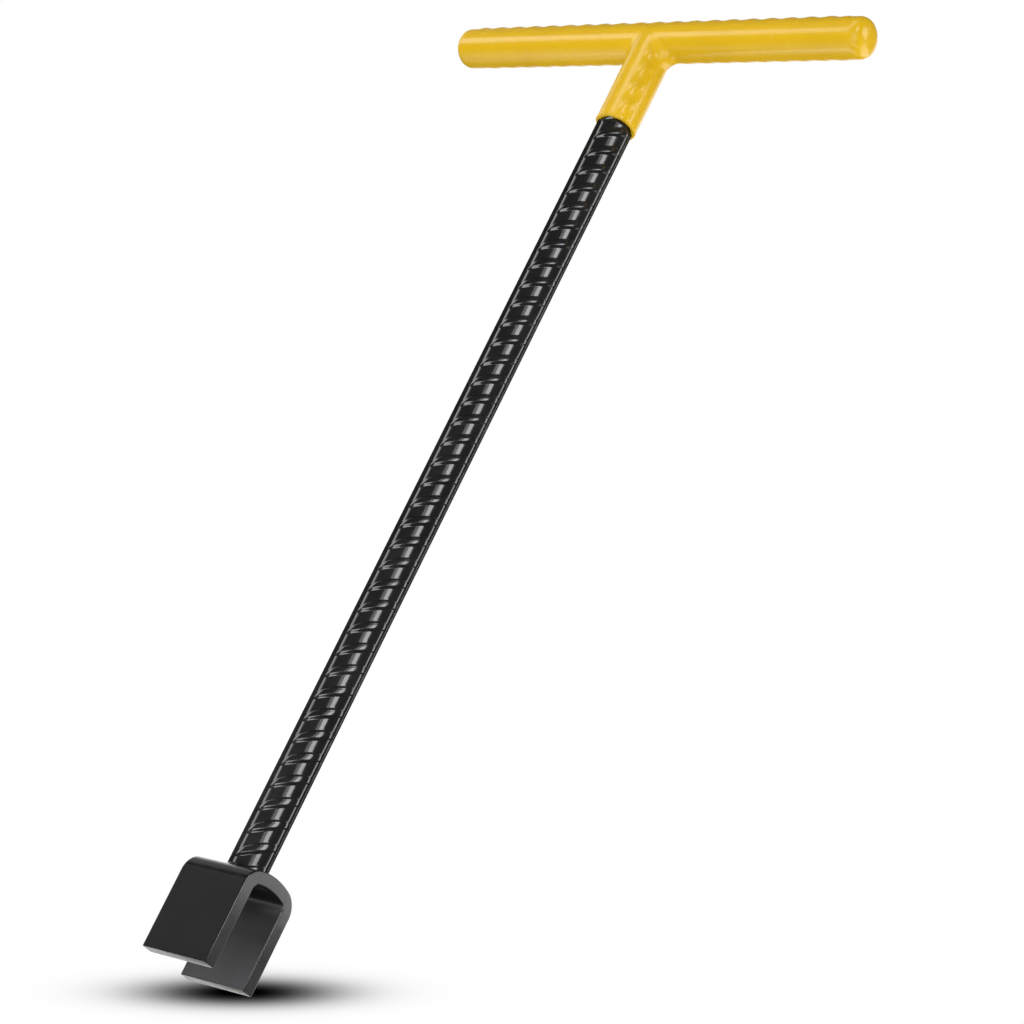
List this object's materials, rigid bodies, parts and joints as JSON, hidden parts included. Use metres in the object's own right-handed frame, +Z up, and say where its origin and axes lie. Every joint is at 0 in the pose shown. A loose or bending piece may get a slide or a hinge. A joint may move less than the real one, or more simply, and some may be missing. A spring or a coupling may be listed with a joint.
{
  "type": "fire hydrant wrench",
  "caption": "Rigid T-handle key for turning valves: dipped yellow crossbar, ribbed bar shank and a slotted U jaw of bent flat bar.",
  "frame": {"origin": "middle of the jaw's two leg ends, on the plane that the tool stands on", "axes": "+Z up along the shank from jaw to crossbar, X along the crossbar and across the jaw's width, Y across the slot between the jaw's legs; the larger crossbar weld is on +X"},
  "size_m": [0.2472, 0.034, 0.5148],
  "materials": {
    "black_paint": "gloss black paint on steel",
    "bare_steel": "mill scale, hidden under the skin",
    "yellow_vinyl": "glossy dipped vinyl"
  },
  "bodies": {
    "root": {"jaw": "black_paint", "shank_bar": "black_paint", "jaw_weld_bead": "black_paint", "crossbar_bar": "bare_steel", "crossbar_weld_left": "bare_steel", "crossbar_weld_right": "bare_steel", "grip_coating": "yellow_vinyl"}
  },
  "joints": []
}
